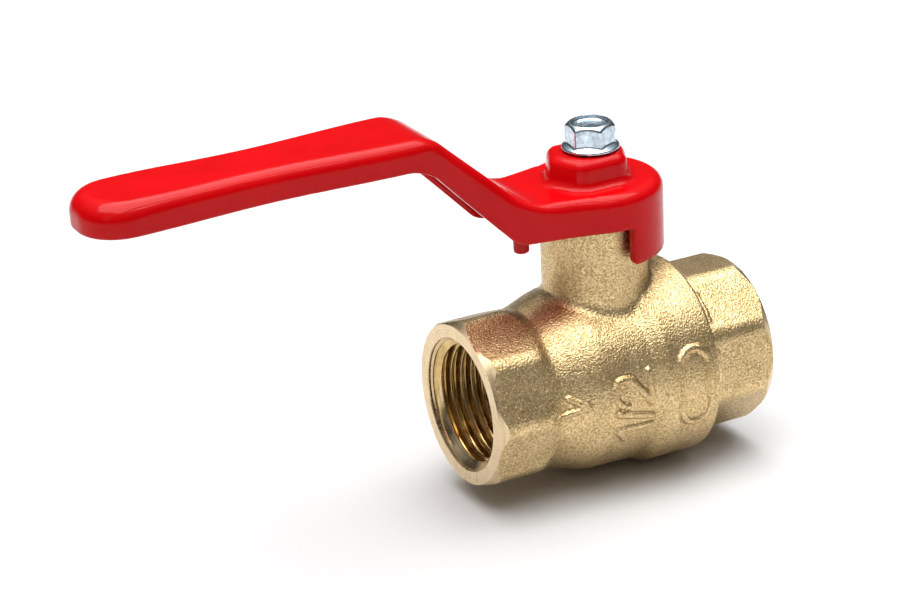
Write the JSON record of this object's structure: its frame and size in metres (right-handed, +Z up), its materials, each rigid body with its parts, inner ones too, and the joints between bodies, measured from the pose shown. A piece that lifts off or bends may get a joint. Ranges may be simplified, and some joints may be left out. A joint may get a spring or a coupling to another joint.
{
  "type": "ball valve",
  "caption": "Quarter-turn ball valve with octagonal threaded ends, a blasted brass body, a screwed end cap and a cranked red lever held by a flanged screw.",
  "frame": {"origin": "centre of the ball, where the pipe axis and the stem axis cross", "axes": "+X along the pipe from the body's inlet end to the end cap, +Z up the stem, and the open lever points to -X"},
  "size_m": [0.1094, 0.0326, 0.0636],
  "materials": {
    "forged_brass": "blasted forging, matt and grainy, with turned end faces and threads",
    "turned_brass": "turned, satin",
    "chromed_brass": "polished chrome plate on brass",
    "ptfe": "turned PTFE, waxy white",
    "rubber_seal": "black elastomer",
    "red_enamel": "glossy red enamel on a die casting",
    "zinc_plated_steel": "bright bluish zinc plate"
  },
  "bodies": {
    "housing": {"valve_body": "forged_brass", "end_cap": "forged_brass", "seat_inlet": "ptfe", "seat_outlet": "ptfe", "stem_thrust_washer": "ptfe", "packing_ring_lower": "ptfe", "packing_ring_upper": "ptfe", "gland_nut": "turned_brass"},
    "stem_lever": {"stem": "turned_brass", "stem_o_ring": "rubber_seal", "lever": "red_enamel", "lever_screw": "zinc_plated_steel"},
    "ball": {"ball": "chromed_brass"}
  },
  "joints": [
    {"name": "lever_turn", "type": "hinge", "parent": "housing", "child": "stem_lever", "pos_m": [0, 0, 0], "axis": [0, 0, -1], "range_deg": [0, 90]},
    {"name": "ball_turn", "type": "hinge", "parent": "housing", "child": "ball", "pos_m": [0, 0, 0], "axis": [0, 0, -1], "range_deg": [0, 90]}
  ],
  "couplings": [
    {"joint": "ball_turn", "follows": "lever_turn", "ratio": 1}
  ]
}
